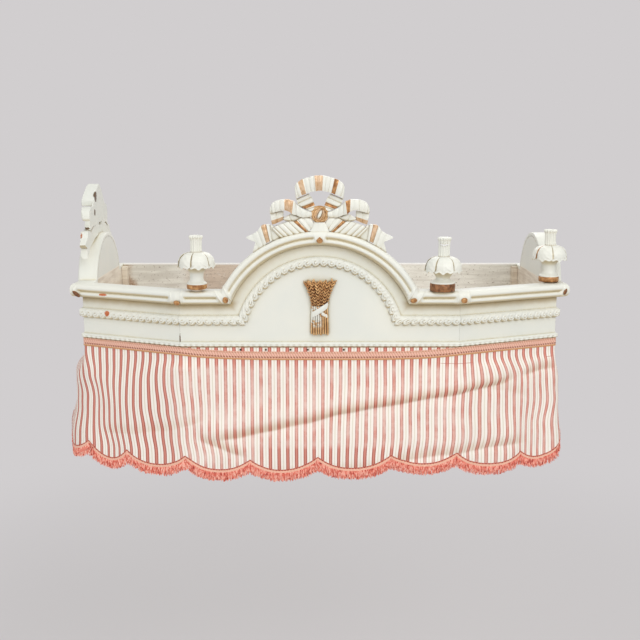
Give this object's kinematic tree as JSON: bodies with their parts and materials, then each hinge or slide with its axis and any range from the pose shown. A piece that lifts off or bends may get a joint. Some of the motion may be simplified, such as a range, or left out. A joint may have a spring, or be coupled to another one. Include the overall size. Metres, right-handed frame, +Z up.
{
  "type": "bed crown canopy",
  "caption": "Painted wooden wall crown for a bed head, with arched and canted front, carved ribbon bows, lift-off finials and a scalloped striped valance.",
  "frame": {"origin": "middle of the back board's back face, which goes against the wall", "axes": "+Z up, +X to the right seen from the front, +Y into the wall"},
  "size_m": [1.3219, 0.5885, 0.7803],
  "materials": {
    "painted_wood": "ivory paint, satin, chipped at the edges",
    "gilt_wood": "copper gold paint, worn",
    "bare_wood": "bare stained softwood, dusty",
    "striped_cloth": "cotton with coral stripes on ivory",
    "gimp_braid": "woven salmon braid",
    "brush_fringe": "cut coral yarn on a woven heading"
  },
  "bodies": {
    "crown": {"back_board": "bare_wood", "left_back_block": "bare_wood", "right_back_block": "bare_wood", "left_end_glue_block": "bare_wood", "left_fold_glue_block": "bare_wood", "right_fold_glue_block": "bare_wood", "right_end_glue_block": "bare_wood", "left_side_panel": "painted_wood", "left_wing_panel": "painted_wood", "front_panel": "painted_wood", "right_wing_panel": "painted_wood", "right_side_panel": "painted_wood", "left_side_rail": "painted_wood", "left_wing_rail": "painted_wood", "front_left_rail": "painted_wood", "front_arch_rail": "painted_wood", "front_right_rail": "painted_wood", "right_wing_rail": "painted_wood", "right_side_rail": "painted_wood", "left_end_tie": "painted_wood", "left_fold_tie": "painted_wood", "left_foot_tie": "painted_wood", "crown_tie": "painted_wood", "right_foot_tie": "painted_wood", "right_fold_tie": "painted_wood", "right_end_tie": "painted_wood", "left_side_rope": "painted_wood", "left_wing_rope": "painted_wood", "front_rope": "painted_wood", "right_wing_rope": "painted_wood", "right_side_rope": "painted_wood", "left_side_bead": "painted_wood", "left_wing_bead": "painted_wood", "front_bead": "painted_wood", "right_wing_bead": "painted_wood", "right_side_bead": "painted_wood", "front_bow": "painted_wood", "front_bow_knot": "gilt_wood", "left_side_bow": "painted_wood", "left_side_bow_knot": "gilt_wood", "wheat_sheaf": "gilt_wood", "sheaf_ribbon": "painted_wood", "valance": "striped_cloth", "gimp": "gimp_braid", "fringe": "brush_fringe"},
    "left_finial": {"left_finial": "painted_wood"},
    "right_finial": {"right_finial": "painted_wood"},
    "end_finial": {"end_finial": "painted_wood"}
  },
  "joints": [
    {"name": "left_finial_lift", "type": "slide", "parent": "crown", "child": "left_finial", "axis": [0, 0, 1], "range_m": [0, 0.024]},
    {"name": "right_finial_lift", "type": "slide", "parent": "crown", "child": "right_finial", "axis": [0, 0, 1], "range_m": [0, 0.024]},
    {"name": "end_finial_lift", "type": "slide", "parent": "crown", "child": "end_finial", "axis": [0, 0, 1], "range_m": [0, 0.024]}
  ]
}
